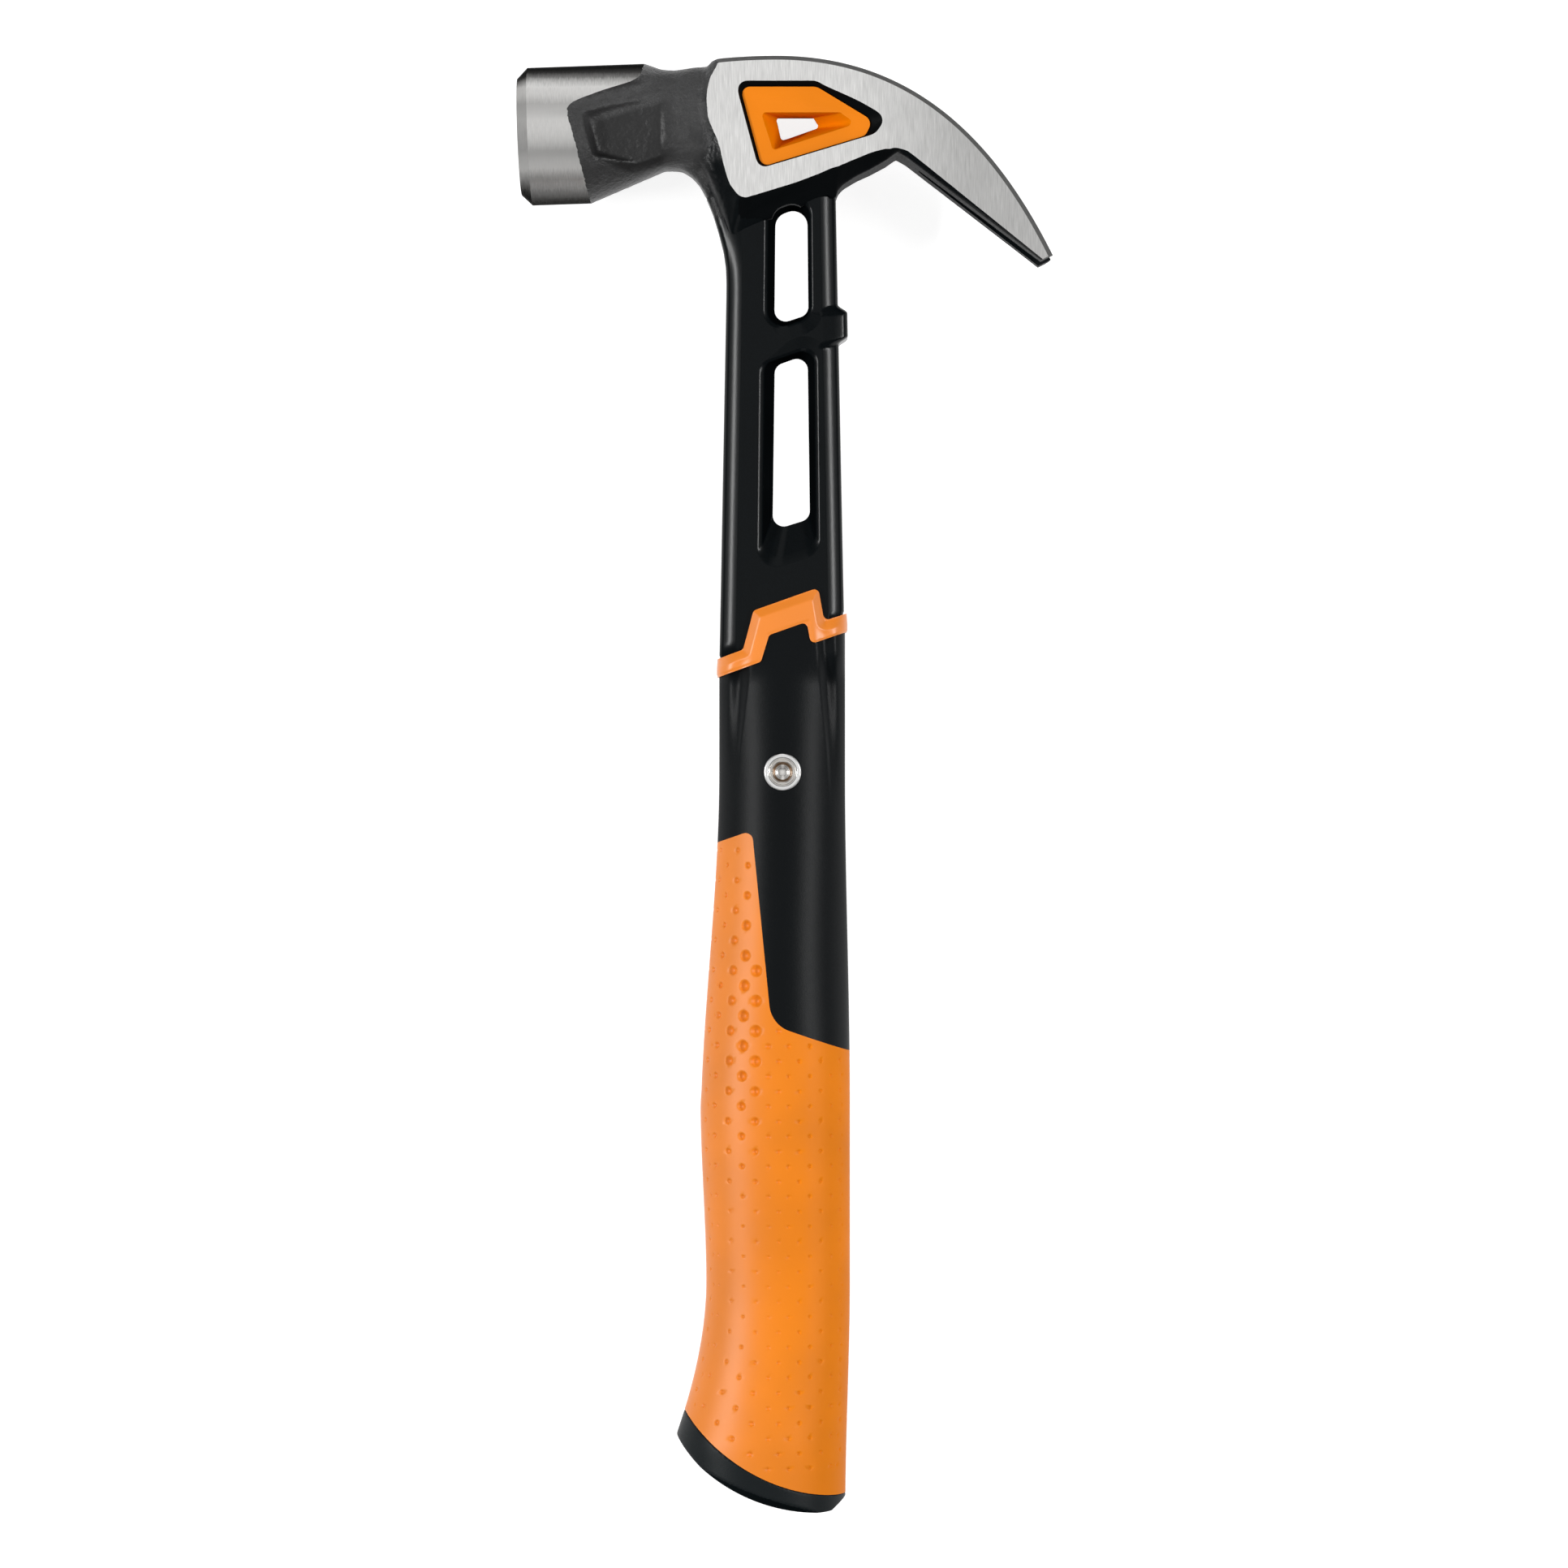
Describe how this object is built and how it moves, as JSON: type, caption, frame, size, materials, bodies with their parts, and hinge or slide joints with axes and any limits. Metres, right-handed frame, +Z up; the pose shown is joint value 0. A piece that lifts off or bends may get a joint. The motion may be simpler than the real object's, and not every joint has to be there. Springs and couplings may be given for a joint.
{
  "type": "claw hammer",
  "caption": "Curved claw hammer with a forged steel head and slotted shaft, an insert in the head's window and an insulated, riveted handle with a dimpled soft grip.",
  "frame": {"origin": "middle of the underside of the bounding box, as the hammer lies on its side", "axes": "+Y from the butt to the head, +X from the striking face to the claw, +Z up through the thickness"},
  "size_m": [0.1444, 0.3914, 0.037],
  "materials": {
    "forged_steel": "black coated forging with ground cheeks and a turned poll",
    "orange_plastic": "satin moulding",
    "orange_sleeve": "satin moulding",
    "black_plastic": "fine-grained satin moulding",
    "orange_grip": "dimpled soft elastomer",
    "black_cap": "grained moulding",
    "rivet_steel": "bright plated steel"
  },
  "bodies": {
    "root": {"head_forging": "forged_steel", "head_insert_near": "orange_plastic", "head_insert_far": "orange_plastic", "insulation_sleeve": "orange_sleeve", "handle_core": "black_plastic", "soft_grip": "orange_grip", "butt_cap": "black_cap", "handle_rivet": "rivet_steel", "rivet_washers": "rivet_steel"}
  },
  "joints": []
}
